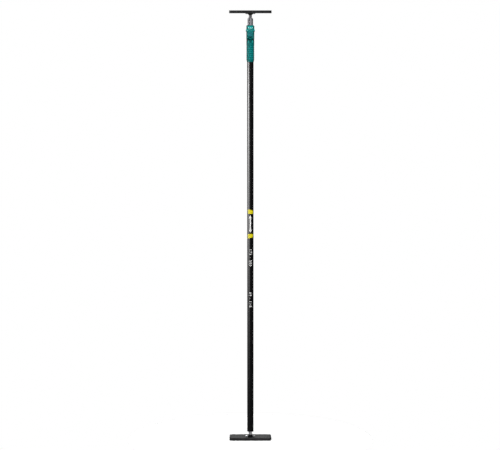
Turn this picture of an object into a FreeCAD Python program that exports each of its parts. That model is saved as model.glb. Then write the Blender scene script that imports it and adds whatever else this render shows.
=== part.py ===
"""Telescopic support pole: two round tubes, a cam lever lock, a grip and two tilting pads.

Millimetres. +Z runs up the pole, X along the long sides of the pads, and -Y is the lever's side.
The origin is the middle of the foot's sole.
"""
import FreeCAD, Part
import math
import os
import re

import Sketcher
from FreeCAD import Placement, Rotation, Vector

# Driving dimensions: alias, millimetres (or degrees, or a count), what it is.
SIZES = [
    ("closed_height", 1750, "sole to top face with the mast pushed in"),
    ("extension", 1250, "travel of the mast out of the outer tube"),
    ("pad_length", 170, "rubber pad along X"),
    ("pad_depth", 76, "rubber pad along Y"),
    ("pad_thickness", 11, "rubber pad with the plate let into it"),
    ("pad_corner", 11, "corner radius of the rubber pad"),
    ("pad_round", 0.9, "rounding of the pad's outer edges"),
    ("pad_rim", 5, "rubber rim round the plate"),
    ("sole_slot_width", 3.2, "anti-slip slot across the sole"),
    ("sole_slot_pitch", 10, "distance between the slots"),
    ("sole_slot_count", 14, "slots in the sole"),
    ("sole_slot_depth", 2, "depth of a slot"),
    ("sole_margin", 9, "sole left plain in front of and behind the slots"),
    ("plate_thickness", 2.5, "steel plate"),
    ("pivot_height", 11, "hinge axis above the plate"),
    ("eye_radius", 5.6, "round end of hinge block and tongue about the hinge axis"),
    ("block_depth", 21, "hinge block along Y"),
    ("flange_length", 40, "hinge block's foot along X"),
    ("flange_thickness", 1.4, "hinge block's foot"),
    ("hinge_pin_radius", 2.5, "hinge pin"),
    ("pin_head_radius", 4.2, "heads of the hinge pin"),
    ("pin_head_height", 1.6, "heads of the hinge pin"),
    ("tongue_thickness", 7, "tongue along Y"),
    ("washer_thickness", 0.8, "friction washer beside the tongue"),
    ("washer_radius", 5.2, "friction washer"),
    ("strap_thickness", 0.8, "plated strap on each flank of the hinge block"),
    ("strap_wrap", 60, "degrees of the flank's curve that the strap climbs"),
    ("rivet_offset", 15.6, "block rivet from the middle"),
    ("rivet_radius", 2, "rivet shank"),
    ("rivet_head_radius", 3.4, "rivet head"),
    ("rivet_head_height", 1.5, "rivet head"),
    ("tube_end_gap", 10, "hinge axis to the end of either tube"),
    ("outer_radius", 13, "outside of the outer tube"),
    ("outer_wall", 1, "wall of the outer tube"),
    ("inner_radius", 11, "outside of the inner tube"),
    ("inner_wall", 1, "wall of the inner tube"),
    ("plug_length", 30, "end plug inside its tube"),
    ("plug_step", 2, "ring left at the plug's face round the neck"),
    ("plug_pin_radius", 2, "cross pin through tube and plug"),
    ("stop_drop", 95, "stop bead below the top of the outer tube"),
    ("stop_width", 8, "rolled stop bead along the tube"),
    ("housing_top_drop", 60, "top of the lock housing below the top face"),
    ("housing_height", 58, "lock housing"),
    ("housing_radius", 16, "back of the lock housing"),
    ("housing_front", 26.5, "front of the lock housing from the pole's axis"),
    ("cheek_front", 11.6, "half the housing's width at its front"),
    ("cheek_shoulder", 9, "where the cheeks reach the housing's full width, from the pole's axis"),
    ("cheek_edge", 0.9, "rounding of the cheeks' front edges"),
    ("dome_radius", 20, "swell of the dome above the lever"),
    ("dome_setback", 1.3, "foot of the dome behind the housing's front"),
    ("dome_back", 14.5, "upper edge of the dome from the pole's axis"),
    ("dome_drop", 2, "upper edge of the dome below the top of the housing"),
    ("chin_radius", 14, "swell of the housing below the lever"),
    ("cheek_round", 7, "upper front corner of the cheeks beside the dome"),
    ("housing_round", 2, "rounding of the housing's ends"),
    ("scoop_radius", 7, "finger scoop under the lever"),
    ("scoop_width", 14, "finger scoop along X"),
    ("lever_pin_drop", 20, "lever pin below the top of the housing"),
    ("lever_pin_offset", 21, "lever pin from the pole's axis"),
    ("lever_pin_radius", 2.5, "lever pin"),
    ("boss_radius", 4.6, "round boss at each end of the lever pin"),
    ("boss_proud", 2, "boss beyond the side of the housing"),
    ("lever_width", 20, "lever along X"),
    ("lever_reach", 26, "lever pin to the lower end of the lever"),
    ("lever_thickness", 5, "lever's plate"),
    ("lever_round", 1, "rounding along the lever's front edges"),
    ("knuckle_radius", 5.6, "front of the lever round its pin"),
    ("knuckle_flat", 4.4, "flat above the pin, which faces the shoe when the lever is open"),
    ("cam_radius", 4.9, "eccentric cam behind the pin"),
    ("cam_offset", 0.65, "cam centre from the pin"),
    ("cam_phase", 45, "angle of the cam centre from the shoe's direction"),
    ("thumb_pad_length", 17, "soft pad on the lever"),
    ("thumb_pad_width", 14, "soft pad on the lever"),
    ("thumb_pad_corner", 3, "corners of the soft pad"),
    ("thumb_pad_depth", 1, "recess of the soft pad"),
    ("thumb_pad_proud", 0.5, "soft pad beyond the lever's face"),
    ("shoe_height", 16, "brake shoe along the pole"),
    ("shoe_width", 17, "brake shoe along X"),
    ("shoe_thickness", 3.4, "brake shoe at its thinnest"),
    ("lining_thickness", 1, "friction lining on the shoe"),
    ("ring_height", 6, "guide ring on the outer tube"),
    ("tube_top_drop", 95, "end of the outer tube below the top face"),
    ("wiper_height", 5, "seat of the wiper ring"),
    ("wiper_proud", 1.4, "wiper ring above the housing"),
    ("wiper_radius", 13, "outside of the wiper ring"),
    ("grip_length", 88, "grip sleeve"),
    ("grip_radius", 15.8, "outside of the grip"),
    ("grip_collar", 20, "smooth band at the top of the grip"),
    ("grip_taper", 11, "tapered lower end of the grip"),
    ("rib_pitch", 8, "distance between the grip's grooves"),
    ("rib_count", 7, "grooves in the grip"),
    ("rib_gap", 3.2, "width of a groove"),
    ("rib_depth", 1.2, "depth of a groove"),
    ("bush_length", 14, "slide bush"),
    ("bush_neck", 8, "neck that the slide bush turns on"),
    ("bush_flange", 4, "flange under the slide bush"),
    ("fit_gap", 0.05, "clearance of pins and plugs in their holes"),
    ("run_gap", 0.1, "clearance of sliding and turning fits"),
    ("free_gap", 0.3, "clearance between parts that only pass each other"),
]

# Places that follow from the driving dimensions.
PLACES = {
    "slot_width": "tongue_thickness + 2 * washer_thickness + 4 * fit_gap",
    "foot_axis": "pad_thickness + pivot_height",
    "head_axis": "closed_height - pad_thickness - pivot_height",
    "tube_bottom": "foot_axis + tube_end_gap",
    "tube_top": "closed_height - tube_top_drop",
    "outer_bore": "outer_radius - outer_wall",
    "mast_top": "head_axis - tube_end_gap",
    "inner_bore": "inner_radius - inner_wall",
    "stop_top": "tube_top - stop_drop",
    "stop_bottom": "stop_top - stop_width",
    "bead_depth": "outer_bore - inner_radius - run_gap",
    "bush_top": "stop_bottom - extension - free_gap",
    "mast_bottom": "bush_top + run_gap",
    "housing_top": "closed_height - housing_top_drop",
    "housing_bottom": "housing_top - housing_height",
    "lever_axis": "housing_top - lever_pin_drop",
    "lever_end": "lever_axis - lever_reach",
    "lever_face": "lever_pin_offset + knuckle_radius",
    "lever_back": "lever_face - lever_thickness",
    "shoe_travel": "2 * cam_offset * cos(cam_phase)",
    "shoe_face": "inner_radius + run_gap + lining_thickness + shoe_thickness",
    "grip_top": "housing_bottom",
    "grip_bottom": "grip_top - grip_length",
    "grip_bore": "outer_radius + fit_gap",
}

doc = FreeCAD.newDocument("support_pole")
sheet = doc.addObject("Spreadsheet::Sheet", "sizes")
for row, (alias, value, note) in enumerate(SIZES, start=1):
    sheet.set("A%d" % row, note)
    sheet.set("B%d" % row, str(value))
    sheet.setAlias("B%d" % row, alias)
doc.recompute()
ALIASES = {alias for alias, value, note in SIZES}


def formula(text):
    """Write out places and point every alias at the sheet."""
    def word(match):
        name = match.group(0)
        if name in PLACES:
            return "(" + formula(PLACES[name]) + ")"
        return "sizes." + name if name in ALIASES else name
    return re.sub(r"[a-z][a-z_]+", word, str(text))


def number(text):
    """Value of a formula with the sheet as it stands."""
    value = sheet.evalExpression(formula(text))
    return float(getattr(value, "Value", value))


def bind(item, prop, text):
    item.setExpression(prop, formula(text))


def new_body(label):
    body = doc.addObject("PartDesign::Body", label)
    body.Label = label
    return body


def sketch_on(body, role, name, lift=None):
    """Sketch on one of the body's own origin planes, raised along its normal by lift."""
    sketch = body.newObject("Sketcher::SketchObject", name)
    plane = next(item for item in body.Origin.OriginFeatures if item.Role == role)
    sketch.AttachmentSupport = [(plane, "")]
    sketch.MapMode = "FlatFace"
    if lift is not None:
        bind(sketch, "AttachmentOffset.Base.z", lift)
    return sketch


def datum(sketch, constraint, text):
    """Add a dimension and bind it to the sheet."""
    index = sketch.addConstraint(constraint)
    name = "size_%d" % index
    sketch.renameConstraint(index, name)
    sketch.setExpression("Constraints." + name, formula(text))


def locate(sketch, geometry, point, place):
    """Fix a point of the sketch by two coordinates from its origin."""
    for kind, text in zip(("DistanceX", "DistanceY"), place):
        datum(sketch, Sketcher.Constraint(kind, -1, 1, geometry, point, number(text)), text)


def arc_between(start, end, radius, side):
    """Anticlockwise arc joining two points; side is +1 when it bulges right of the way to end."""
    chord = end - start
    half = chord.Length / 2
    rise = math.sqrt(max(radius * radius - half * half, 0.0))
    right = Vector(chord.y, -chord.x, 0).normalize()
    centre = (start + end) / 2 - right * (rise * side)
    first, last = (start, end) if side > 0 else (end, start)
    opening = math.atan2(first.y - centre.y, first.x - centre.x)
    closing = math.atan2(last.y - centre.y, last.x - centre.x)
    if closing < opening:
        closing += 2 * math.pi
    return Part.ArcOfCircle(Part.Circle(centre, Vector(0, 0, 1), radius), opening, closing)


def outline(sketch, points, arcs=None):
    """Closed outline through points; arcs gives {segment: (radius, side)}."""
    arcs = arcs or {}
    spots = [Vector(number(across), number(up), 0) for across, up in points]
    count = len(points)
    ids = []
    for index, spot in enumerate(spots):
        following = spots[(index + 1) % count]
        if index in arcs:
            radius, side = arcs[index]
            segment = arc_between(spot, following, number(radius), side)
            forward = segment.StartPoint.distanceToPoint(spot) < 1e-6
        else:
            segment = Part.LineSegment(spot, following)
            forward = True
        ids.append((sketch.addGeometry(segment), forward))
    for index, (geometry, forward) in enumerate(ids):
        other, other_forward = ids[(index + 1) % count]
        sketch.addConstraint(Sketcher.Constraint("Coincident", geometry, 2 if forward else 1,
                                                 other, 1 if other_forward else 2))
    for index, (geometry, forward) in enumerate(ids):
        locate(sketch, geometry, 1 if forward else 2, points[index])
        if index in arcs:
            radius = arcs[index][0]
            datum(sketch, Sketcher.Constraint("Radius", geometry, number(radius)), radius)


def rectangle(sketch, left, right, low, high):
    outline(sketch, [(left, low), (right, low), (right, high), (left, high)])


def rounded_rectangle(sketch, width, height, radius, middle="0"):
    """Rectangle with round corners, across the upright axis at a middle height."""
    across, up = "(%s) / 2" % width, "(%s) / 2" % height
    inset_x, inset_y = "%s - (%s)" % (across, radius), "%s - (%s)" % (up, radius)
    bottom, top = "%s - (%s)" % (middle, up), "%s + %s" % (middle, up)
    low, high = "%s - (%s)" % (middle, inset_y), "%s + %s" % (middle, inset_y)
    points = [("-(%s)" % inset_x, bottom), (inset_x, bottom), (across, low), (across, high),
              (inset_x, top), ("-(%s)" % inset_x, top), ("-(%s)" % across, high), ("-(%s)" % across, low)]
    outline(sketch, points, {corner: (radius, 1) for corner in (1, 3, 5, 7)})


def circle(sketch, place, radius):
    spot = Vector(number(place[0]), number(place[1]), 0)
    geometry = sketch.addGeometry(Part.Circle(spot, Vector(0, 0, 1), number(radius)))
    locate(sketch, geometry, 3, place)
    datum(sketch, Sketcher.Constraint("Radius", geometry, number(radius)), radius)


def pad(body, sketch, length, symmetric=False, reverse=False):
    feature = body.newObject("PartDesign::Pad", sketch.Name + "_pad")
    feature.Profile = sketch
    if symmetric:
        feature.SideType = "Symmetric"
    feature.Reversed = reverse
    bind(feature, "Length", length)
    return feature


def pocket(body, sketch, length=None, symmetric=False, reverse=False):
    """Cut a sketch to a depth, or right through where no depth is given; it has to take something."""
    doc.recompute()
    before = body.Shape.Volume
    feature = body.newObject("PartDesign::Pocket", sketch.Name + "_cut")
    feature.Profile = sketch
    feature.Reversed = reverse
    if symmetric:
        feature.SideType = "Symmetric"
    if length is None:
        feature.Type = "ThroughAll"
    else:
        bind(feature, "Length", length)
    doc.recompute()
    if not body.Shape.Volume < before - 1e-3:
        raise RuntimeError("%s cuts nothing" % feature.Name)
    return feature


def revolve(body, sketch, axis="V_Axis"):
    feature = body.newObject("PartDesign::Revolution", sketch.Name + "_turn")
    feature.Profile = sketch
    feature.ReferenceAxis = (sketch, [axis])
    feature.Angle = 360
    return feature


def linear_pattern(body, feature, axis_role, pitch, count):
    pattern = body.newObject("PartDesign::LinearPattern", feature.Name + "_row")
    pattern.Originals = [feature]
    axis = next(item for item in body.Origin.OriginFeatures if item.Role == axis_role)
    pattern.Direction = (axis, [""])
    bind(pattern, "Length", "(%s) * (%s - 1)" % (pitch, count))
    bind(pattern, "Occurrences", count)
    body.Tip = pattern
    return pattern


def fillet(body, radius, chosen):
    """Round the edges of the body that chosen() picks."""
    doc.recompute()
    base = body.Tip
    names = ["Edge%d" % (index + 1) for index, edge in enumerate(base.Shape.Edges) if chosen(edge)]
    feature = body.newObject("PartDesign::Fillet", body.Name + "_round")
    feature.Base = (base, names)
    bind(feature, "Radius", radius)
    doc.recompute()
    return feature


def flat_at(edge, height):
    """True for an edge that lies level at this height."""
    box = edge.BoundBox
    return abs(box.ZMin - number(height)) < 1e-4 and abs(box.ZMax - number(height)) < 1e-4


def turned_piece(label, points, arcs=None):
    """Piece turned about the pole's axis from (radius, height) points."""
    body = new_body(label)
    sketch = sketch_on(body, "XZ_Plane", label + "_profile")
    outline(sketch, points, arcs)
    revolve(body, sketch)
    return body


def tube_wall(label, inside, outside, low, high):
    return turned_piece(label, [(inside, low), (outside, low), (outside, high), (inside, high)])


def group(label, members):
    compound = doc.addObject("Part::Compound", label)
    compound.Label = label
    compound.Links = members
    return compound


# Pads: modelled with the sole at height zero, and turned over for the head.

def rubber_pad(label):
    """Moulded pad with a slotted sole and a recess that takes the plate."""
    body = new_body(label)
    base = sketch_on(body, "XY_Plane", label + "_outline")
    rounded_rectangle(base, "pad_length", "pad_depth", "pad_corner")
    pad(body, base, "pad_thickness")
    fillet(body, "pad_round", lambda edge: flat_at(edge, "0") or flat_at(edge, "pad_thickness"))
    recess = sketch_on(body, "XY_Plane", label + "_recess", "pad_thickness")
    rounded_rectangle(recess, "pad_length - 2 * pad_rim", "pad_depth - 2 * pad_rim",
                      "pad_corner - pad_rim")
    pocket(body, recess, "plate_thickness")
    wells = sketch_on(body, "XY_Plane", label + "_rivet_wells", "pad_thickness - plate_thickness")
    for side in ("rivet_offset", "-rivet_offset"):
        circle(wells, (side, "0"), "rivet_head_radius + free_gap")
    pocket(body, wells, "rivet_head_height + free_gap")
    slot = sketch_on(body, "XY_Plane", label + "_slot")
    middle = "-sole_slot_pitch * (sole_slot_count - 1) / 2"
    half = "sole_slot_width / 2"
    end = "pad_depth / 2 - sole_margin"
    left, right = "%s - %s" % (middle, half), "%s + %s" % (middle, half)
    straight = "%s - %s" % (end, half)
    outline(slot, [(right, "-(%s)" % straight), (right, straight), (middle, end), (left, straight),
                   (left, "-(%s)" % straight), (middle, "-(%s)" % end)],
            {corner: (half, 1) for corner in (1, 2, 4, 5)})
    cut = pocket(body, slot, "sole_slot_depth", reverse=True)
    linear_pattern(body, cut, "X_Axis", "sole_slot_pitch", "sole_slot_count")
    return body


def drill_rivets(body, label):
    holes = sketch_on(body, "XY_Plane", label + "_rivet_holes")
    for side in ("rivet_offset", "-rivet_offset"):
        circle(holes, (side, "0"), "rivet_radius + fit_gap")
    pocket(body, holes, symmetric=True)


def pad_plate(label):
    """Steel plate that fills the pad's recess, drilled for the two rivets."""
    body = new_body(label)
    base = sketch_on(body, "XY_Plane", label + "_outline", "pad_thickness - plate_thickness")
    rounded_rectangle(base, "pad_length - 2 * pad_rim - 2 * fit_gap",
                      "pad_depth - 2 * pad_rim - 2 * fit_gap", "pad_corner - pad_rim - fit_gap")
    pad(body, base, "plate_thickness")
    drill_rivets(body, label)
    return body


def hinge_block(label):
    """Forked block: flat foot, flanks that sweep up to a round eye, slot for the tongue."""
    body = new_body(label)
    front = sketch_on(body, "XZ_Plane", label + "_front")
    sweep = "pivot_height - flange_thickness"
    shoulder = "pad_thickness + flange_thickness"
    toe = "eye_radius + " + sweep
    points = [("-flange_length / 2", "pad_thickness"), ("flange_length / 2", "pad_thickness"),
              ("flange_length / 2", shoulder), (toe, shoulder), ("eye_radius", "foot_axis"),
              ("0", "foot_axis + eye_radius"), ("-eye_radius", "foot_axis"),
              ("-(%s)" % toe, shoulder), ("-flange_length / 2", shoulder)]
    outline(front, points, {3: (sweep, -1), 4: ("eye_radius", 1), 5: ("eye_radius", 1), 6: (sweep, -1)})
    pad(body, front, "block_depth", symmetric=True)
    slot = sketch_on(body, "YZ_Plane", label + "_slot")
    rectangle(slot, "-(slot_width) / 2", "(slot_width) / 2",
              "foot_axis - eye_radius - 2 * free_gap", "foot_axis + 2 * eye_radius")
    pocket(body, slot, symmetric=True)
    eye = sketch_on(body, "XZ_Plane", label + "_eye")
    circle(eye, ("0", "foot_axis"), "hinge_pin_radius")
    pocket(body, eye, symmetric=True)
    drill_rivets(body, label)
    return body


def hinge_straps(label):
    """Two plated straps, one on each flank of the block, held down by the rivets."""
    sweep = "(pivot_height - flange_thickness)"
    toe = "(eye_radius + %s)" % sweep
    under = "pad_thickness + flange_thickness"
    over = under + " + strap_thickness"
    inner = "(%s - strap_thickness)" % sweep
    straps = []
    for name, sign, turn in (("left", "-", 1), ("right", "", -1)):
        ends = [("%s(%s - %s * sin(strap_wrap))" % (sign, toe, radius),
                 "foot_axis - %s * cos(strap_wrap)" % radius) for radius in (inner, sweep)]
        strap = new_body("%s_%s" % (label, name))
        front = sketch_on(strap, "XZ_Plane", "%s_%s_front" % (label, name))
        outline(front, [(sign + "flange_length / 2", under), (sign + "flange_length / 2", over),
                        (sign + toe, over), ends[0], ends[1], (sign + toe, under)],
                {2: (inner, turn), 4: (sweep, -turn)})
        pad(strap, front, "block_depth", symmetric=True)
        drill_rivets(strap, "%s_%s" % (label, name))
        seat = sketch_on(strap, "XY_Plane", "%s_%s_rivet_seat" % (label, name), over)
        circle(seat, (sign + "rivet_offset", "0"), "rivet_head_radius + free_gap")
        pocket(strap, seat, "pivot_height", reverse=True)
        straps.append(strap)
    return group(label, straps)


def hinge_pin(label):
    """Pin with a domed head at each end, along Y through block, washers and tongue."""
    face = "block_depth / 2"
    tip = "block_depth / 2 + pin_head_height"
    dome = "(pin_head_radius ^ 2 + pin_head_height ^ 2) / (2 * pin_head_height)"
    body = new_body(label)
    sketch = sketch_on(body, "XY_Plane", label + "_profile", "foot_axis")
    outline(sketch, [("0", "-(%s)" % tip), ("pin_head_radius", "-(%s)" % face),
                     ("hinge_pin_radius", "-(%s)" % face), ("hinge_pin_radius", face),
                     ("pin_head_radius", face), ("0", tip)], {0: (dome, 1), 4: (dome, 1)})
    revolve(body, sketch)
    return body


def hinge_washers(label):
    """The two friction washers between the tongue and the block's cheeks."""
    offset = "tongue_thickness / 2 + washer_thickness / 2 + fit_gap"
    washers = []
    for name, middle in (("front", "-(%s)" % offset), ("back", offset)):
        ring = new_body("%s_%s" % (label, name))
        face = sketch_on(ring, "XZ_Plane", "%s_%s_face" % (label, name))
        circle(face, ("0", "foot_axis"), "washer_radius")
        circle(face, ("0", "foot_axis"), "hinge_pin_radius + fit_gap")
        pad(ring, face, "washer_thickness", symmetric=True)
        bind(ring, "Placement.Base.y", middle)
        washers.append(ring)
    return group(label, washers)


def block_rivets(label):
    """Two rivets: domed head on the strap's foot, shank, and a flat head under the plate."""
    top = "pad_thickness + flange_thickness + strap_thickness"
    under = "pad_thickness - plate_thickness"
    foot = under + " - rivet_head_height"
    dome = "(rivet_head_radius ^ 2 + rivet_head_height ^ 2) / (2 * rivet_head_height)"
    rivets = []
    for name, side in (("left", "-rivet_offset"), ("right", "rivet_offset")):
        points = [("0", foot), ("rivet_head_radius", foot), ("rivet_head_radius", under),
                  ("rivet_radius", under), ("rivet_radius", top), ("rivet_head_radius", top),
                  ("0", top + " + rivet_head_height")]
        rivet = turned_piece("%s_%s" % (label, name), points, {5: (dome, 1)})
        bind(rivet, "Placement.Base.x", side)
        rivets.append(rivet)
    return group(label, rivets)


def pad_assembly(end):
    """The pieces of one pad, in the order they go together."""
    return [rubber_pad(end + "_rubber_pad"), pad_plate(end + "_plate"),
            hinge_block(end + "_hinge_block"), hinge_straps(end + "_hinge_straps"),
            block_rivets(end + "_block_rivets"), hinge_pin(end + "_hinge_pin"),
            hinge_washers(end + "_hinge_washers")]


def turn_over(piece, height):
    """Turn a piece upside down about X and lift it to a height."""
    piece.Placement = Placement(Vector(0, 0, 0), Rotation(Vector(1, 0, 0), 180))
    bind(piece, "Placement.Base.z", height)


# Tubes, the plugs in their ends and what runs in them.

def drill_cross(body, name, height, radius):
    """Hole right across the pole along X."""
    hole = sketch_on(body, "YZ_Plane", name)
    circle(hole, ("0", height), radius)
    pocket(body, hole, symmetric=True)


def end_plug(label, bore):
    """Plug with a neck that tapers to a flat tongue; hinge axis at height zero, tube above it."""
    spigot = bore + " - fit_gap"
    end = "tube_end_gap + plug_length"
    points = [("0", "-eye_radius"), ("eye_radius", "0"), (bore + " - plug_step", "tube_end_gap"),
              (spigot, "tube_end_gap"), (spigot, end), ("0", end)]
    body = turned_piece(label, points, {0: ("eye_radius", 1)})
    flats = sketch_on(body, "YZ_Plane", label + "_flats")
    half = "tongue_thickness / 2"
    for left, right in ((half, "2 * outer_radius"), ("-2 * outer_radius", "-(%s)" % half)):
        rectangle(flats, left, right, "-2 * eye_radius", "tube_end_gap - plug_step / 2")
    pocket(body, flats, symmetric=True)
    eye = sketch_on(body, "XZ_Plane", label + "_eye")
    circle(eye, ("0", "0"), "hinge_pin_radius + fit_gap")
    pocket(body, eye, symmetric=True)
    drill_cross(body, label + "_cross_hole", "tube_end_gap + plug_length / 2", "plug_pin_radius")
    return body


def plug_pin(label, tube_radius, height):
    """Cross pin, flush with the tube, with chamfered ends."""
    reach = "sqrt((%s) ^ 2 - plug_pin_radius ^ 2) - fit_gap" % tube_radius
    chamfer = "plug_pin_radius / 4"
    neck = "(%s) - %s" % (reach, chamfer)
    body = new_body(label)
    sketch = sketch_on(body, "XY_Plane", label + "_profile", height)
    outline(sketch, [("-(%s)" % reach, "0"), (reach, "0"), (reach, "plug_pin_radius - " + chamfer),
                     (neck, "plug_pin_radius"), ("-(%s)" % neck, "plug_pin_radius"),
                     ("-(%s)" % reach, "plug_pin_radius - " + chamfer)])
    revolve(body, sketch, "H_Axis")
    return body


def outer_tube(label):
    """Long tube with a rolled bead near its top that stops the slide bush."""
    waist, throat = "outer_radius - bead_depth", "outer_bore - bead_depth"
    low, high = "stop_bottom + stop_width / 4", "stop_top - stop_width / 4"
    points = [("outer_bore", "tube_bottom"), ("outer_radius", "tube_bottom"),
              ("outer_radius", "stop_bottom"), (waist, low), (waist, high),
              ("outer_radius", "stop_top"), ("outer_radius", "tube_top"), ("outer_bore", "tube_top"),
              ("outer_bore", "stop_top"), (throat, high), (throat, low), ("outer_bore", "stop_bottom")]
    body = turned_piece(label, points)
    drill_cross(body, label + "_pin_hole", "tube_bottom + plug_length / 2", "plug_pin_radius")
    return body


def inner_tube(label):
    body = tube_wall(label, "inner_bore", "inner_radius", "mast_bottom", "mast_top")
    drill_cross(body, label + "_pin_hole", "mast_top - plug_length / 2", "plug_pin_radius")
    return body


def inner_end_plug(label):
    """Plug in the mast's lower end, with a neck and a flange that carry the slide bush."""
    neck_low = "mast_bottom - bush_length - 2 * run_gap"
    spigot = "inner_bore - fit_gap"
    top = "mast_bottom + plug_length"
    points = [("0", neck_low + " - bush_flange"), ("inner_radius", neck_low + " - bush_flange"),
              ("inner_radius", neck_low), ("bush_neck", neck_low), ("bush_neck", "mast_bottom"),
              (spigot, "mast_bottom"), (spigot, top), ("0", top)]
    return turned_piece(label, points)


def slide_bush(label):
    """Bush that runs in the outer tube and turns on the plug's neck."""
    return tube_wall(label, "bush_neck + run_gap", "outer_bore - run_gap",
                     "bush_top - bush_length", "bush_top")


def grip_sleeve(label):
    """Moulded sleeve: smooth collar, grooved grip and a tapered lower end."""
    points = [("grip_bore", "grip_bottom"), ("grip_bore + rib_depth / 2", "grip_bottom"),
              ("grip_radius", "grip_bottom + grip_taper"), ("grip_radius", "grip_top - rib_depth"),
              ("grip_radius - rib_depth", "grip_top"), ("grip_bore", "grip_top")]
    body = turned_piece(label, points)
    groove = sketch_on(body, "XZ_Plane", label + "_groove")
    grooved = "grip_length - grip_taper - grip_collar"
    first = "grip_bottom + grip_taper + (%s - rib_pitch * (rib_count - 1)) / 2" % grooved
    floor, proud = "grip_radius - rib_depth", "grip_radius + rib_depth"
    outline(groove, [(proud, first + " - rib_gap / 2"), (proud, first + " + rib_gap / 2"),
                     ("grip_radius", first + " + rib_gap / 2"), (floor, first + " + rib_gap / 4"),
                     (floor, first + " - rib_gap / 4"), ("grip_radius", first + " - rib_gap / 2")])
    doc.recompute()
    before = body.Shape.Volume
    ring = body.newObject("PartDesign::Groove", label + "_ring")
    ring.Profile = groove
    ring.ReferenceAxis = (groove, ["V_Axis"])
    ring.Angle = 360
    linear_pattern(body, ring, "Z_Axis", "rib_pitch", "rib_count")
    doc.recompute()
    if not body.Shape.Volume < before - 1e-3:
        raise RuntimeError("the grip's grooves cut nothing")
    return body


# Lock: housing, lever with its cam, shoe and rings.

def lock_housing(label):
    """Moulded housing: round at the back, two cheeks that draw in to the front, the lever between them."""
    body = new_body(label)
    plan = sketch_on(body, "XY_Plane", label + "_plan", "housing_bottom")
    outline(plan, [("-cheek_front", "-housing_front"), ("cheek_front", "-housing_front"),
                   ("housing_radius", "-cheek_shoulder"), ("housing_radius", "0"), ("0", "housing_radius"),
                   ("-housing_radius", "0"), ("-housing_radius", "-cheek_shoulder")],
            {3: ("housing_radius", 1), 4: ("housing_radius", 1)})
    pad(body, plan, "housing_height")
    fillet(body, "cheek_edge", cheek_front_edge)
    fillet(body, "housing_round",
           lambda edge: flat_at(edge, "housing_top") or flat_at(edge, "housing_bottom"))
    shape_hood(body, label)
    inner, outer = "lever_width / 2 + free_gap", "housing_radius + boss_proud"
    for name, start in (("right", inner), ("left", "-(%s)" % outer)):
        boss = sketch_on(body, "YZ_Plane", "%s_%s_boss" % (label, name), start)
        circle(boss, ("-lever_pin_offset", "lever_axis"), "boss_radius")
        pad(body, boss, "%s - (%s)" % (outer, inner))
    cut_bores(body, label)
    cut_lever_well(body, label)
    return body


def cheek_front_edge(edge):
    """True for the upright edges at the housing's front."""
    box = edge.BoundBox
    return box.ZLength > number("housing_height") / 2 and box.YMax < number("-housing_front") + 1e-4


def shape_hood(body, label):
    """Dome between the cheeks above the lever, round cheeks beside it, and a swelling chin below."""
    clear, above = "-2 * housing_front", "housing_top + housing_radius"
    nose = "lever_axis + knuckle_radius + 2 * free_gap"
    dome = sketch_on(body, "YZ_Plane", label + "_dome")
    outline(dome, [(clear, nose), ("-(housing_front - dome_setback)", nose),
                   ("-dome_back", "housing_top - dome_drop"), ("-dome_back", above), (clear, above)],
            {1: ("dome_radius", -1)})
    pocket(body, dome, "lever_width + 2 * free_gap", symmetric=True)
    cheek = sketch_on(body, "YZ_Plane", label + "_cheek")
    back = "-(housing_front - cheek_round)"
    outline(cheek, [(clear, "housing_top - cheek_round"), ("-housing_front", "housing_top - cheek_round"),
                    (back, "housing_top"), (back, above), (clear, above)], {1: ("cheek_round", -1)})
    pocket(body, cheek, symmetric=True)
    chin = sketch_on(body, "YZ_Plane", label + "_chin")
    lip = "lever_end - scoop_radius / 2"
    below = "housing_bottom - housing_radius"
    outline(chin, [(clear, below), ("-housing_radius", below), ("-housing_radius", "housing_bottom"),
                   ("-housing_front", lip), (clear, lip)], {2: ("chin_radius", -1)})
    pocket(body, chin, symmetric=True)


def cut_bores(body, label):
    """Stepped bore: outer tube and guide ring below, the mast's way, and the wiper's seat on top."""
    steps = [("tube", "outer_radius + fit_gap", "housing_bottom", "tube_top + ring_height - housing_bottom"),
             ("mast", "inner_radius + free_gap", "housing_bottom", "housing_height"),
             ("wiper", "wiper_radius + fit_gap", "housing_top - wiper_height", "wiper_height")]
    for name, radius, low, height in steps:
        bore = sketch_on(body, "XY_Plane", "%s_%s_bore" % (label, name), low)
        circle(bore, ("0", "0"), radius)
        pocket(body, bore, height, reverse=True)


def cut_lever_well(body, label):
    """Room for the lever and its knuckle, the shoe's window, the pin's hole and the finger scoop."""
    clear = "-2 * housing_front"
    turn = "knuckle_radius + 2 * free_gap"
    floor = "-(lever_back - 3 * free_gap)"
    well = sketch_on(body, "YZ_Plane", label + "_well")
    rectangle(well, clear, floor, "lever_end - 3 * free_gap", "lever_axis + " + turn)
    pocket(body, well, "lever_width + 2 * free_gap", symmetric=True)
    knuckle = sketch_on(body, "YZ_Plane", label + "_knuckle_room")
    circle(knuckle, ("-lever_pin_offset", "lever_axis"), turn)
    pocket(body, knuckle, "lever_width + 2 * free_gap", symmetric=True)
    window = sketch_on(body, "XZ_Plane", label + "_window")
    side, rise = "shoe_width / 2 + run_gap", "shoe_height / 2 + run_gap"
    rectangle(window, "-(%s)" % side, side, "lever_axis - (%s)" % rise, "lever_axis + %s" % rise)
    pocket(body, window, "shoe_face + shoe_travel + free_gap", reverse=True)
    scoop = sketch_on(body, "YZ_Plane", label + "_scoop")
    circle(scoop, ("-lever_face", "lever_end - free_gap"), "scoop_radius")
    pocket(body, scoop, "scoop_width", symmetric=True)
    drill_lever_pin(body, label + "_pin_hole", "lever_pin_radius")


def drill_lever_pin(body, name, radius):
    """Hole along the lever pin's axis."""
    hole = sketch_on(body, "YZ_Plane", name)
    circle(hole, ("-lever_pin_offset", "lever_axis"), radius)
    pocket(body, hole, symmetric=True)


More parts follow.
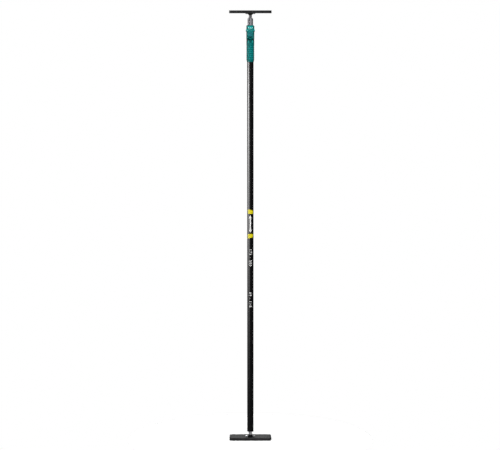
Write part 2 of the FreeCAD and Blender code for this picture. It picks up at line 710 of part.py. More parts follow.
def clamp_lever(label):
    """Lever with a round knuckle in front of its pin and an eccentric cam behind it."""
    body = new_body(label)
    side = sketch_on(body, "YZ_Plane", label + "_side")
    tip = "lever_thickness / 2"
    middle = "-(lever_face - %s)" % tip
    flat = "lever_axis + knuckle_flat"
    brow = "-(lever_pin_offset + sqrt(knuckle_radius ^ 2 - knuckle_flat ^ 2))"
    outline(side, [("-lever_back", "lever_end + " + tip), ("-lever_back", "lever_axis"),
                   ("-lever_pin_offset", flat), (brow, flat), ("-lever_face", "lever_axis"),
                   ("-lever_face", "lever_end + " + tip), (middle, "lever_end")],
            {3: ("knuckle_radius", 1), 5: (tip, 1), 6: (tip, 1)})
    pad(body, side, "lever_width", symmetric=True)
    fillet(body, "lever_round", lever_front_edge)
    cam = sketch_on(body, "YZ_Plane", label + "_cam")
    circle(cam, ("-lever_pin_offset + cam_offset * cos(cam_phase)",
                 "lever_axis - cam_offset * sin(cam_phase)"), "cam_radius")
    pad(body, cam, "lever_width", symmetric=True)
    recess = sketch_on(body, "XZ_Plane", label + "_recess", "lever_face")
    thumb_outline(recess, "0")
    pocket(body, recess, "thumb_pad_depth")
    drill_lever_pin(body, label + "_pin_hole", "lever_pin_radius + fit_gap")
    return body


def lever_front_edge(edge):
    """True for the edges of the lever's sides that lie in front of its pin."""
    box = edge.BoundBox
    beside = abs(abs(box.XMin) - number("lever_width / 2")) < 1e-4 and box.XLength < 1e-4
    return beside and box.YMax < number("-lever_back") + 1e-4


def thumb_outline(sketch, inset):
    middle = "lever_end + lever_thickness / 2 + thumb_pad_length / 2"
    rounded_rectangle(sketch, "thumb_pad_width - 2 * " + inset, "thumb_pad_length - 2 * " + inset,
                      "thumb_pad_corner - " + inset, middle)


def lever_thumb_pad(label):
    """Soft pad let into the lever's face and standing a little proud of it."""
    body = new_body(label)
    face = sketch_on(body, "XZ_Plane", label + "_face", "lever_face - thumb_pad_depth")
    thumb_outline(face, "fit_gap")
    pad(body, face, "thumb_pad_depth + thumb_pad_proud")
    return body


def lever_pin(label):
    """Plain pin, flush with the bosses, with chamfered ends."""
    reach = "housing_radius + boss_proud - fit_gap"
    chamfer = "lever_pin_radius / 5"
    neck = "(%s) - %s" % (reach, chamfer)
    body = new_body(label)
    sketch = sketch_on(body, "XY_Plane", label + "_profile")
    outline(sketch, [("-(%s)" % reach, "0"), (reach, "0"), (reach, "lever_pin_radius - " + chamfer),
                     (neck, "lever_pin_radius"), ("-(%s)" % neck, "lever_pin_radius"),
                     ("-(%s)" % reach, "lever_pin_radius - " + chamfer)])
    revolve(body, sketch, "H_Axis")
    bind(body, "Placement.Base.y", "-lever_pin_offset")
    bind(body, "Placement.Base.z", "lever_axis")
    return body


def saddle(label, hollow, front=None):
    """Block over the mast with a round hollow; its front is flat, or round where none is given."""
    body = new_body(label)
    plan = sketch_on(body, "XY_Plane", label + "_plan", "lever_axis - shoe_height / 2")
    half = "shoe_width / 2"
    back = "-sqrt((%s) ^ 2 - (%s) ^ 2)" % (hollow, half)
    if front is None:
        outer = "%s + lining_thickness" % hollow
        edge = "-sqrt((%s) ^ 2 - (%s) ^ 2)" % (outer, half)
        outline(plan, [("-(%s)" % half, edge), (half, edge), (half, back), ("-(%s)" % half, back)],
                {0: (outer, 1), 2: (hollow, -1)})
    else:
        outline(plan, [("-(%s)" % half, front), (half, front), (half, back), ("-(%s)" % half, back)],
                {2: (hollow, -1)})
    pad(body, plan, "shoe_height")
    return body


def wiper_ring(label):
    """Ring in the top of the housing with a bevelled lip above it."""
    top = "housing_top + wiper_proud"
    points = [("inner_radius + run_gap", "housing_top - wiper_height"),
              ("wiper_radius", "housing_top - wiper_height"), ("wiper_radius", "housing_top"),
              ("wiper_radius - wiper_proud / 2", top), ("inner_radius + run_gap", top)]
    return turned_piece(label, points)


def build():
    pieces = pad_assembly("foot")
    pieces.append(outer_tube("outer_tube"))
    lower_plug = end_plug("lower_end_plug", "outer_bore")
    bind(lower_plug, "Placement.Base.z", "foot_axis")
    pieces += [lower_plug, plug_pin("lower_plug_pin", "outer_radius", "tube_bottom + plug_length / 2")]
    pieces += [grip_sleeve("grip_sleeve"), lock_housing("lock_housing"), lever_pin("lever_pin")]
    pieces.append(tube_wall("guide_ring", "inner_radius + run_gap", "outer_radius",
                            "tube_top", "tube_top + ring_height"))
    pieces += [wiper_ring("wiper_ring"), clamp_lever("clamp_lever"), lever_thumb_pad("lever_thumb_pad")]
    lined = "inner_radius + run_gap + lining_thickness"
    pieces += [saddle("brake_shoe", lined, "-shoe_face"), saddle("shoe_lining", "inner_radius + run_gap")]
    pieces += [slide_bush("slide_bush"), inner_tube("inner_tube"), inner_end_plug("inner_end_plug")]
    upper_plug = end_plug("upper_end_plug", "inner_bore")
    turn_over(upper_plug, "head_axis")
    pieces += [upper_plug, plug_pin("upper_plug_pin", "inner_radius", "mast_top - plug_length / 2")]
    head = pad_assembly("head")
    for piece in head:
        turn_over(piece, "closed_height")
    return pieces + head


def write(pieces):
    """Stop on anything that failed, then write one file for each piece."""
    doc.recompute()
    for item in doc.Objects:
        if "Invalid" in item.State or "Error" in item.State:
            raise RuntimeError("%s failed: %s" % (item.Label, item.State))
    for piece in pieces:
        if piece.Shape.isNull() or not piece.Shape.isValid() or not piece.Shape.Solids:
            raise RuntimeError("%s has no sound solid" % piece.Label)
    os.makedirs("parts", exist_ok=True)
    for piece in pieces:
        piece.Shape.exportStep("parts/%s.step" % piece.Label)
        print("%-22s %9.1f mm3" % (piece.Label, piece.Shape.Volume))


write(build())
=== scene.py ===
"""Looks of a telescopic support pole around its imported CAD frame. Metres, +Z up, -Y is the lever's side."""

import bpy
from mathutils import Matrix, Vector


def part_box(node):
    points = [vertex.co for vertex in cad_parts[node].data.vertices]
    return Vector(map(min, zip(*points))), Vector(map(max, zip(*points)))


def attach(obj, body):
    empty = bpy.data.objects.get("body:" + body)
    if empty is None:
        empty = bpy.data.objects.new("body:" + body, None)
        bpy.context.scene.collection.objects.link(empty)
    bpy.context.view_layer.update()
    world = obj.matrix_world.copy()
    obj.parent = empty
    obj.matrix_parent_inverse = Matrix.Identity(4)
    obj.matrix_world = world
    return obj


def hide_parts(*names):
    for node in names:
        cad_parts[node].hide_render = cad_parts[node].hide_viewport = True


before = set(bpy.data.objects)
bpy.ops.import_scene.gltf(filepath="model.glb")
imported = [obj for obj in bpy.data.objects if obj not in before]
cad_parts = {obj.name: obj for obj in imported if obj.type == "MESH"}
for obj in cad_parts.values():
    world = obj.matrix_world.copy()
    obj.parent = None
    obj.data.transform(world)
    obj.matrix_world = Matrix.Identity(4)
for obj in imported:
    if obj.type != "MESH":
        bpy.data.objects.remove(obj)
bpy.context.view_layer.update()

import math

import bmesh
import bpy
from bpy.props import FloatProperty, FloatVectorProperty, IntProperty, PointerProperty, StringProperty
from mathutils import Vector

bl_info = {
    "name": "Telescopic support pole",
    "version": (1, 0, 0),
    "blender": (4, 5, 0),
    "location": "View3D > Sidebar > Pole",
    "description": "Dresses the packed CAD frame of a telescopic support pole",
    "category": "Object",
}


# Settings

def amount(name, description, default, unit="NONE"):
    return FloatProperty(name=name, description=description, default=default, unit=unit)


def glow(name, description, default):
    return FloatVectorProperty(name=name, description=description, default=default, size=len(default), min=0)


def length(name, description, default):
    return FloatProperty(name=name, description=description, default=default, unit="LENGTH", precision=4)


def turn(name, description, degrees):
    return FloatProperty(name=name, description=description, default=math.radians(degrees), subtype="ANGLE")


def point(name, description, default):
    return FloatVectorProperty(name=name, description=description, default=default, subtype="TRANSLATION",
                               size=3, unit="LENGTH")


def colour(name, description, default):
    return FloatVectorProperty(name=name, description=description, default=default, subtype="COLOR",
                               size=3, min=0, max=1)


class PoleSizes(bpy.types.PropertyGroup):
    """Sizes of the pieces that stand for CAD nodes or lie on them."""
    outer_radius: length("Outer tube radius", "Outside of the outer tube", 0.013)
    inner_radius: length("Inner tube radius", "Outside of the mast", 0.011)
    wall: length("Tube wall", "Wall of both tubes", 0.001)
    edge: length("Edge", "Rounding of the tubes' ends", 0.0003)
    bead_low: length("Bead low", "Lower end of the rolled stop bead", 1.552)
    bead_width: length("Bead width", "Rolled stop bead along the tube", 0.008)
    bead_depth: length("Bead depth", "Depth of the rolled stop bead", 0.0009)
    film: length("Film", "Thickness of the printed film on the tube", 0.00012)
    label_low: length("Label low", "Lower end of the printed band", 0.8290)
    label_high: length("Label high", "Upper end of the printed band", 0.9495)
    panel: length("Panel", "Height of a yellow end panel", 0.0190)
    slant: length("Slant", "Rise of the slanted edge of a yellow panel", 0.0060)
    label_turn: turn("Label turn", "Half the turn that a panel reaches round the tube", 52)
    arrow_gap: length("Arrow gap", "Between the arrow and the panels", 0.005)
    arrow_head: length("Arrow head", "Length of the arrow's heads", 0.013)
    arrow_wide: length("Arrow width", "Half the width of the arrow's heads", 0.0055)
    arrow_thin: length("Arrow shaft", "Half the width of the arrow's shaft", 0.0025)
    numeral: length("Numeral", "Height of the printed numerals", 0.0105)
    numerals_middle: length("Numerals middle", "Middle of the centimetre numerals", 0.7520)
    inches_middle: length("Inches middle", "Middle of the inch numerals", 0.5790)
    fit: length("Fit", "Clearance between the grip and the tube", 0.00005)
    grip_radius: length("Grip radius", "Outside of the grip", 0.0158)
    grip_taper: length("Grip taper", "Tapered lower end of the grip", 0.0110)
    rib_first: length("First groove", "First groove above the grip's lower end", 0.0155)
    rib_pitch: length("Groove pitch", "Distance between the grip's grooves", 0.0080)
    rib_gap: length("Groove width", "Width of a groove", 0.0032)
    rib_depth: length("Groove depth", "Depth of a groove", 0.0012)
    rib_round: length("Rib round", "Rounding of the ribs", 0.0007)
    ribs: IntProperty(name="Grooves", description="Grooves in the grip", default=7, min=1)
    pip_side: length("Pip side", "Raised dots of the collar from its middle", 0.0088)
    pip_drop: length("Pip drop", "Raised dots below the grip's top", 0.0070)
    pip_radius: length("Pip radius", "Half the width of the collar's raised dots", 0.0025)
    pip_height: length("Pip height", "Half the height of the collar's raised dots", 0.0054)
    screw_radius: length("Screw radius", "Head of the screws in the housing's back", 0.0027)
    screw_height: length("Screw height", "Head of the screws in the housing's back", 0.0013)
    screw_rise: length("Screw rise", "Lower screw above the housing's lower end", 0.010)
    screw_pitch: length("Screw pitch", "Distance between the screws", 0.010)
    housing_back: length("Housing back", "Back of the lock housing from the pole's axis", 0.0160)
    bars: IntProperty(name="Bars", description="Raised bars on the thumb pad", default=4, min=1)
    bar_length: length("Bar length", "Raised bars on the thumb pad", 0.0096)
    bar_width: length("Bar width", "Raised bars on the thumb pad", 0.0013)
    bar_height: length("Bar height", "Raised bars on the thumb pad", 0.0004)
    segments: IntProperty(name="Segments", description="Sides of a turned piece", default=96, min=24)


class PoleFinish(bpy.types.PropertyGroup):
    """Colours of the finishes."""
    paint: colour("Paint", "Black powder coat", (0.0014, 0.0014, 0.0016))
    rubber: colour("Rubber", "Pads", (0.009, 0.009, 0.0095))
    zinc: colour("Zinc", "Plated straps, rivets and cross pins", (0.66, 0.66, 0.68))
    plug: colour("Plug", "Cast plugs in the tubes' ends", (0.62, 0.61, 0.64))
    pin: colour("Pin", "Hinge pins", (0.22, 0.22, 0.23))
    steel: colour("Steel", "Mast", (0.50, 0.49, 0.53))
    teal: colour("Teal", "Lock housing", (0.0005, 0.168, 0.158))
    # Lever: the housing's teal darkened, painted shade on the lever's front face
    lever: colour("Lever", "Lever in the housing's front", (0.0004, 0.130, 0.122))
    grip: colour("Grip", "Grip sleeve", (0.0005, 0.150, 0.146))
    # Dots: far lighter than the grip, a painted highlight on the collar's two spots
    dots: colour("Dots", "Raised dots on the grip's collar", (0.030, 0.620, 0.570))
    thumb: colour("Thumb pad", "Soft pad on the lever", (0.008, 0.114, 0.132))
    plastic: colour("Plastic", "Rings and bushes", (0.020, 0.020, 0.021))
    nylon: colour("Nylon", "Washers", (0.30, 0.30, 0.30))
    yellow: colour("Yellow", "Printed panels", (0.62, 0.54, 0.008))
    ink: colour("Ink", "Printed marks", (0.78, 0.78, 0.77))


class PoleStage(bpy.types.PropertyGroup):
    """Camera, floor and lights."""
    lens: amount("Lens", "Focal length in millimetres", 135.0, "CAMERA")
    distance: length("Distance", "Camera from the pole's axis", 7.579)
    height: length("Height", "Camera above the floor", 1.668)
    aim: length("Aim", "Height that the camera looks at", 0.8837)
    side: length("Side", "Sideways place of the camera's aim", -0.0014)
    floor: colour("Floor", "Pale floor, lit to white", (0.44, 0.44, 0.44))
    floor_radius: length("Floor radius", "Round floor under the pole", 0.5)
    world: amount("World", "Strength of the even light", 0.06)
    top_sun: amount("Top light", "Strength of the broad light from above", 7.5)
    top_from: point("Top light from", "Side that the light from above comes from", (-0.5, -0.9, 5.0))
    top_spread: turn("Top light spread", "How broad the light from above is", 60)
    key_sun: amount("Key light", "Strength of the broad light from the front", 1.8)
    key_from: point("Key light from", "Side that the light from the front comes from", (0.35, -1.75, 0.65))
    key_spread: turn("Key light spread", "How broad the light from the front is", 50)
    hood_lamp: amount("Hood light", "Power of the small light over the lock", 1.2, "POWER")
    hood_from: point("Hood light from", "Place of the light over the lock", (-0.03, -0.17, 2.0))
    hood_at: point("Hood light aim", "Place that the light over the lock is aimed at", (0, -0.02, 1.683))
    hood_size: length("Hood light size", "Width of the light over the lock", 0.12)
    front_panel: glow("Front panel", "Brightness of the left front panel, top to bottom",
                      (1.4, 1.7, 2.6, 3.0, 1.8, 1.0))
    main_panel: glow("Main panel", "Brightness of the left panel, top to bottom",
                     (23.0, 16.0, 9.0, 5.0, 1.5, 0.8))
    side_panel: glow("Side panel", "Brightness of the left back panel, top to bottom",
                     (0.2, 0.3, 0.6, 0.9, 0.5, 0.4))
    back_panel: glow("Back panel", "Brightness of the panel behind the pole, top to bottom", (0, 0.42))
    mast_left: glow("Mast left", "Brightness of the panel left of the mast, top to bottom", (0.22, 0.22))
    mast_front: glow("Mast front", "Brightness of the panel before the mast, top to bottom", (0.66, 0.66))
    mast_right: glow("Mast right", "Brightness of the panel right of the mast, top to bottom", (0.3, 0.3))


# Mesh helpers

def rounded(points, radii, steps=4):
    """Closed outline with its corners rounded: one radius for each point, zero keeps it sharp."""
    made = []
    count = len(points)
    for index, radius in enumerate(radii):
        corner = Vector(points[index])
        if not radius:
            made.append(corner)
            continue
        before = (Vector(points[index - 1]) - corner).normalized()
        after = (Vector(points[(index + 1) % count]) - corner).normalized()
        half = before.angle(after) / 2
        reach = radius / math.tan(half)
        centre = corner + (before + after).normalized() * (radius / math.sin(half))
        start, end = corner + before * reach - centre, corner + after * reach - centre
        sweep = start.angle_signed(end)
        for step in range(steps + 1):
            angle = -sweep * step / steps
            made.append(centre + Vector((start.x * math.cos(angle) - start.y * math.sin(angle),
                                         start.x * math.sin(angle) + start.y * math.cos(angle))))
    return made


def finished(name, bm, smooth_angle=35):
    """Object from a bmesh, smooth apart from edges sharper than the angle."""
    bmesh.ops.recalc_face_normals(bm, faces=bm.faces)
    mesh = bpy.data.meshes.new(name)
    bm.to_mesh(mesh)
    bm.free()
    mesh.shade_smooth()
    mesh.set_sharp_from_angle(angle=math.radians(smooth_angle))
    piece = bpy.data.objects.new(name, mesh)
    bpy.context.scene.collection.objects.link(piece)
    return piece


def held(profile, margin):
    """Outline with points added near both ends of its long sides, which keep those sides' shading flat."""
    made = []
    for start, end in zip(profile, profile[1:] + profile[:1]):
        start, end = Vector(start), Vector(end)
        side = end - start
        made.append(start)
        if side.length > 4 * margin:
            made += [start + side.normalized() * margin, end - side.normalized() * margin]
    return made


def turned(name, profile, segments, margin=0.0008):
    """Piece turned about the pole's axis from a closed outline of (radius, height)."""
    bm = bmesh.new()
    profile = held(profile, margin)
    rings = []
    for index in range(segments):
        angle = 2 * math.pi * index / segments
        rings.append([bm.verts.new((r * math.cos(angle), r * math.sin(angle), z)) for r, z in profile])
    for ring, following in zip(rings, rings[1:] + rings[:1]):
        for index in range(len(profile)):
            after = (index + 1) % len(profile)
            bm.faces.new((ring[index], following[index], following[after], ring[after]))
    return finished(name, bm)


def on_tube(radius, across, up):
    """Point on a tube's front, from the distance round it and the height."""
    angle = across / radius
    return radius * math.sin(angle), -radius * math.cos(angle), up


def wrap_strip(bm, radius, start, end, first, last, steps=8):
    """Strip on a tube's front between two heights, with half its width at each of them."""
    rows = []
    for row in range(steps + 1):
        share = row / steps
        half, level = first + (last - first) * share, start + (end - start) * share
        rows.append([bm.verts.new(on_tube(radius, half * (2 * step / steps - 1), level))
                     for step in range(steps + 1)])
    for low, high in zip(rows, rows[1:]):
        for step in range(steps):
            bm.faces.new((low[step], low[step + 1], high[step + 1], high[step]))


def capped(bm, spot, facing, rings, sides=24, tall=1.0):
    """Cap on a surface from rings of (radius, rise, six-sided), closed by the last; tall draws it out."""
    facing = Vector(facing).normalized()
    across = Vector((0, 0, 1)).cross(facing).normalized()
    up = facing.cross(across)
    loops = []
    for radius, rise, six_sided in rings:
        loop = []
        for index in range(sides):
            angle = 2 * math.pi * index / sides
            reach = radius / math.cos(angle % math.radians(60) - math.radians(30)) if six_sided else radius
            loop.append(bm.verts.new(Vector(spot) + facing * rise
                                     + (across * math.cos(angle) + up * tall * math.sin(angle)) * reach))
        loops.append(loop)
    for low, high in zip(loops, loops[1:]):
        for index in range(sides):
            after = (index + 1) % sides
            bm.faces.new((low[index], low[after], high[after], high[index]))
    bm.faces.new(loops[-1])


def place(piece, body, slot, material, *nodes):
    """Give a piece its body and finish, and hide the CAD nodes that it stands for."""
    piece.data.materials.clear()
    piece.data.materials.append(material)
    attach(piece, body)
    if nodes:
        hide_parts(*nodes)


def paint_nodes(material, *names):
    """Put a finish on CAD nodes that are shown as they are."""
    for name in names:
        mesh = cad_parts[name].data
        mesh.materials.clear()
        mesh.materials.append(material)
        for polygon in mesh.polygons:
            polygon.material_index = 0


# Finishes

class Finish:
    """A principled material with object-space noise for its colour, roughness and bump."""

    def __init__(self, name, metallic=0.0, specular=0.5):
        self.material = bpy.data.materials.get(name) or bpy.data.materials.new(name)
        self.material.use_nodes = True
        self.nodes = self.material.node_tree.nodes
        self.links = self.material.node_tree.links
        self.nodes.clear()
        output = self.nodes.new("ShaderNodeOutputMaterial")
        self.shader = self.nodes.new("ShaderNodeBsdfPrincipled")
        self.links.new(self.shader.outputs["BSDF"], output.inputs["Surface"])
        self.shader.inputs["Metallic"].default_value = metallic
        self.shader.inputs["Specular IOR Level"].default_value = specular
        self.coordinates = self.nodes.new("ShaderNodeTexCoord")

    def noise(self, scale, detail=3.0, stretch=(1, 1, 1)):
        """Noise in the object's own space, drawn out where its stretch is small."""
        mapping = self.nodes.new("ShaderNodeMapping")
        mapping.inputs["Scale"].default_value = stretch
        texture = self.nodes.new("ShaderNodeTexNoise")
        texture.inputs["Scale"].default_value = scale
        texture.inputs["Detail"].default_value = detail
        self.links.new(self.coordinates.outputs["Object"], mapping.inputs["Vector"])
        self.links.new(mapping.outputs["Vector"], texture.inputs["Vector"])
        return texture.outputs["Fac"]

    def ramp(self, value, low, high, start=0.35, end=0.65):
        """Colours between two ends of a noise."""
        node = self.nodes.new("ShaderNodeValToRGB")
        node.color_ramp.elements[0].position = start
        node.color_ramp.elements[1].position = end
        node.color_ramp.elements[0].color = (*low, 1)
        node.color_ramp.elements[1].color = (*high, 1)
        self.links.new(value, node.inputs["Fac"])
        return node.outputs["Color"]

    def tint(self, base, value, spread):
        """Colour that wanders about its base by a share of it."""
        low = tuple(channel * (1 - spread) for channel in base)
        high = tuple(min(1.0, channel * (1 + spread)) for channel in base)
        self.links.new(self.ramp(value, low, high), self.shader.inputs["Base Color"])

    def rough(self, value, low, high):
        """Roughness between two ends of a noise."""
        node = self.nodes.new("ShaderNodeMapRange")
        node.inputs["From Min"].default_value = 0.3
        node.inputs["From Max"].default_value = 0.7
        node.inputs["To Min"].default_value = low
        node.inputs["To Max"].default_value = high
        self.links.new(value, node.inputs["Value"])
        self.links.new(node.outputs["Result"], self.shader.inputs["Roughness"])

    def bump(self, value, strength, distance):
        """Fine relief from a noise."""
        node = self.nodes.new("ShaderNodeBump")
        node.inputs["Strength"].default_value = strength
        node.inputs["Distance"].default_value = distance
        self.links.new(value, node.inputs["Height"])
        self.links.new(node.outputs["Normal"], self.shader.inputs["Normal"])


def powder_coat(base):
    finish = Finish("powder_coat", specular=0.5)
    finish.tint(base, finish.noise(60), 0.25)
    finish.rough(finish.noise(150, 4), 0.20, 0.28)
    finish.bump(finish.noise(1400, 2), 0.05, 0.00003)
    return finish.material


def moulded_rubber(base):
    finish = Finish("moulded_rubber", specular=0.2)
    finish.tint(base, finish.noise(45, 5), 0.30)
    finish.rough(finish.noise(120, 4), 0.55, 0.75)
    finish.bump(finish.noise(2200, 3), 0.25, 0.0003)
    return finish.material


def plated(name, base, metallic, low, high):
    finish = Finish(name, metallic=metallic)
    finish.tint(base, finish.noise(220, 4), 0.10)
    finish.rough(finish.noise(400, 4), low, high)
    finish.bump(finish.noise(1500, 2), 0.06, 0.0002)
    return finish.material


def drawn_steel(base):
    finish = Finish("drawn_steel", metallic=0.8)
    finish.tint(base, finish.noise(500, 4, (1, 1, 0.01)), 0.22)
    finish.rough(finish.noise(700, 4, (1, 1, 0.01)), 0.10, 0.16)
    finish.bump(finish.noise(1200, 3, (1, 1, 0.005)), 0.06, 0.0001)
    return finish.material


def satin_plastic(name, base, low, high, grain, shine=0.4):
    finish = Finish(name, specular=shine)
    finish.tint(base, finish.noise(80, 4), 0.10)
    finish.rough(finish.noise(260, 4), low, high)
    finish.bump(finish.noise(grain, 3), 0.10, 0.0001)
    return finish.material


def printed(name, base):
    finish = Finish(name, specular=0.3)
    finish.tint(base, finish.noise(300, 4), 0.06)
    finish.rough(finish.noise(200, 3), 0.30, 0.42)
    finish.bump(finish.noise(900, 2), 0.05, 0.0001)
    return finish.material


# Operators

# Height of a digit as a share of the font's size
DIGIT_SHARE = 0.73

# Soft panels that show in reflections: name, degrees left of the front, distance, width, lower and upper end
PANELS = (
    ("front_panel", 32, 2.2, 1.1, 0.0, 1.53),
    ("main_panel", 68, 2.2, 1.6, 0.0, 1.53),
    ("side_panel", 122, 2.2, 2.6, 0.0, 1.53),
    ("back_panel", 180, 3.0, 1.2, 0.0, 1.53),
    ("mast_left", 85, 2.2, 2.2, 1.66, 2.0),
    ("mast_front", -11, 2.2, 1.6, 1.66, 2.0),
    ("mast_right", -56, 2.2, 1.7, 1.66, 2.0),
)


class POLE_OT_tubes(bpy.types.Operator):
    """Smooth outer tube with its rolled bead, and the mast"""
    bl_idname = "pole.tubes"
    bl_label = "Tubes"

    def execute(self, context):
        sizes, finish = context.scene.pole_sizes, context.scene.pole_finish
        low, high = (corner.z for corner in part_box("outer_tube"))
        outside, inside = sizes.outer_radius, sizes.outer_radius - sizes.wall
        bead, step, depth = sizes.bead_low, sizes.bead_width / 4, sizes.bead_depth
        points = [(inside, low), (outside, low), (outside, bead), (outside - depth, bead + step),
                  (outside - depth, bead + 3 * step), (outside, bead + 4 * step), (outside, high),
                  (inside, high), (inside, bead + 4 * step), (inside - depth, bead + 3 * step),
                  (inside - depth, bead + step), (inside, bead)]
        edge = sizes.edge
        radii = [edge, edge, 0, 0, 0, 0, edge, edge, 0, 0, 0, 0]
        tube = turned("outer_tube_coated", rounded(points, radii), sizes.segments)
        place(tube, "outer", "black_paint", powder_coat(finish.paint), "outer_tube")
        low, high = (corner.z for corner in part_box("inner_tube"))
        outside, inside = sizes.inner_radius, sizes.inner_radius - sizes.wall
        points = [(inside, low), (outside, low), (outside, high), (inside, high)]
        mast = turned("inner_tube_drawn", rounded(points, [edge] * 4), sizes.segments)
        place(mast, "mast", "steel", drawn_steel(finish.steel), "inner_tube")
        return {"FINISHED"}


class POLE_OT_label(bpy.types.Operator):
    """Printed band on the outer tube: two yellow panels, a double arrow and plain numerals"""
    bl_idname = "pole.label"
    bl_label = "Label"

    numerals: StringProperty(name="Numerals", description="Shortest and longest length in centimetres",
                             default="175 - 300")
    inches: StringProperty(name="Inches", description="The same two lengths in inches", default="69 - 118")

    def execute(self, context):
        sizes, finish = context.scene.pole_sizes, context.scene.pole_finish
        radius = sizes.outer_radius + sizes.film
        reach = radius * sizes.label_turn
        columns = 24
        bm = bmesh.new()
        for low, high, slants in ((sizes.label_low, sizes.label_low + sizes.panel, (1, 0)),
                                  (sizes.label_high - sizes.panel, sizes.label_high, (0, -1))):
            rows = []
            for index in range(columns + 1):
                share = index / columns
                across = -reach + 2 * reach * share
                rows.append([bm.verts.new(on_tube(radius, across, low + slants[0] * sizes.slant * share)),
                             bm.verts.new(on_tube(radius, across, high + slants[1] * sizes.slant * share))])
            for left, right in zip(rows, rows[1:]):
                bm.faces.new((left[0], right[0], right[1], left[1]))
        panels = finished("label_panels", bm)
        place(panels, "outer", "print_yellow", printed("printed_yellow", finish.yellow))
        ink = printed("printed_ink", finish.ink)
        self.arrow(sizes, radius, ink)
        for name, text, middle in (("numerals_cm", self.numerals, sizes.numerals_middle),
                                   ("numerals_inch", self.inches, sizes.inches_middle)):
            place(self.lettering(name, text, sizes.numeral, radius, middle), "outer", "print_white", ink)
        return {"FINISHED"}

    def arrow(self, sizes, radius, ink):
        """Double-headed arrow along the tube between the panels."""
        low = sizes.label_low + sizes.panel + sizes.arrow_gap
        high = sizes.label_high - sizes.panel - sizes.arrow_gap
        head, wide, thin = sizes.arrow_head, sizes.arrow_wide, sizes.arrow_thin
        bm = bmesh.new()
        wrap_strip(bm, radius, low, low + head, 0, wide)
        wrap_strip(bm, radius, low + head, high - head, thin, thin)
        wrap_strip(bm, radius, high - head, high, wide, 0)
        bmesh.ops.remove_doubles(bm, verts=bm.verts, dist=1e-6)
        place(finished("label_arrow", bm), "outer", "print_white", ink)

    def lettering(self, name, text, height, radius, middle):
        """Text that runs down the tube, wrapped on its front."""
        curve = bpy.data.curves.new(name, "FONT")
        curve.body = text
        curve.size = height / DIGIT_SHARE
        curve.space_character = 1.25
        curve.align_x = "CENTER"
        curve.align_y = "CENTER"
        curve.resolution_u = 4
        holder = bpy.data.objects.new(name + "_curve", curve)
        bpy.context.scene.collection.objects.link(holder)
        bpy.context.view_layer.update()
        mesh = bpy.data.meshes.new_from_object(holder)
        bpy.data.objects.remove(holder)
        bpy.data.curves.remove(curve)
        bm = bmesh.new()
        bm.from_mesh(mesh)
        bpy.data.meshes.remove(mesh)
        slices = 10
        for cut in range(1, slices):
            bmesh.ops.bisect_plane(bm, geom=[*bm.verts, *bm.edges, *bm.faces], dist=1e-7,
                                   plane_co=(0, height * (cut / slices - 0.5), 0), plane_no=(0, 1, 0))
        bmesh.ops.triangulate(bm, faces=bm.faces)
        for vert in bm.verts:
            vert.co = on_tube(radius, vert.co.y, middle - vert.co.x)
        return finished(name, bm)


class POLE_OT_grip(bpy.types.Operator):
    """Moulded grip sleeve with rounded ribs and two raised oval dots on its collar, coloured pale as a
    painted highlight
    """
    bl_idname = "pole.grip"
    bl_label = "Grip"

    def execute(self, context):
        sizes, finish = context.scene.pole_sizes, context.scene.pole_finish
        material = satin_plastic("moulded_grip", finish.grip, 0.42, 0.58, 1800, 0.12)
        low, high = (corner.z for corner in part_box("grip_sleeve"))
        inside, outside, depth = sizes.outer_radius + sizes.fit, sizes.grip_radius, sizes.rib_depth
        points = [(inside, low), (inside + depth / 2, low), (outside, low + sizes.grip_taper)]
        radii = [0, sizes.edge / 2, sizes.grip_taper / 3]
        for index in range(sizes.ribs):
            middle = low + sizes.rib_first + index * sizes.rib_pitch
            points += [(outside, middle - sizes.rib_gap / 2), (outside - depth, middle - sizes.rib_gap / 4),
                       (outside - depth, middle + sizes.rib_gap / 4), (outside, middle + sizes.rib_gap / 2)]
            radii += [sizes.rib_round] * 4
        points += [(outside, high - depth), (outside - depth, high), (inside, high)]
        radii += [sizes.rib_round, sizes.rib_round / 2, 0]
        sleeve = turned("grip_sleeve_moulded", rounded(points, radii), sizes.segments)
        place(sleeve, "outer", "teal_grip", material, "grip_sleeve")
        bm = bmesh.new()
        radius = sizes.pip_radius
        for across in (-sizes.pip_side, sizes.pip_side):
            spot = Vector(on_tube(outside, across, high - sizes.pip_drop))
            capped(bm, spot, (spot.x, spot.y, 0),
                   [(radius, -radius / 5, False), (radius * 0.94, radius / 10, False),
                    (radius * 0.72, radius / 5, False), (radius * 0.3, radius / 4, False)],
                   tall=sizes.pip_height / radius)
        # The dots' pale colour is a painted highlight on the collar
        place(finished("grip_pips", bm, 60), "outer", "teal_grip",
              satin_plastic("moulded_dots", finish.dots, 0.42, 0.58, 1800, 0.12))
        return {"FINISHED"}


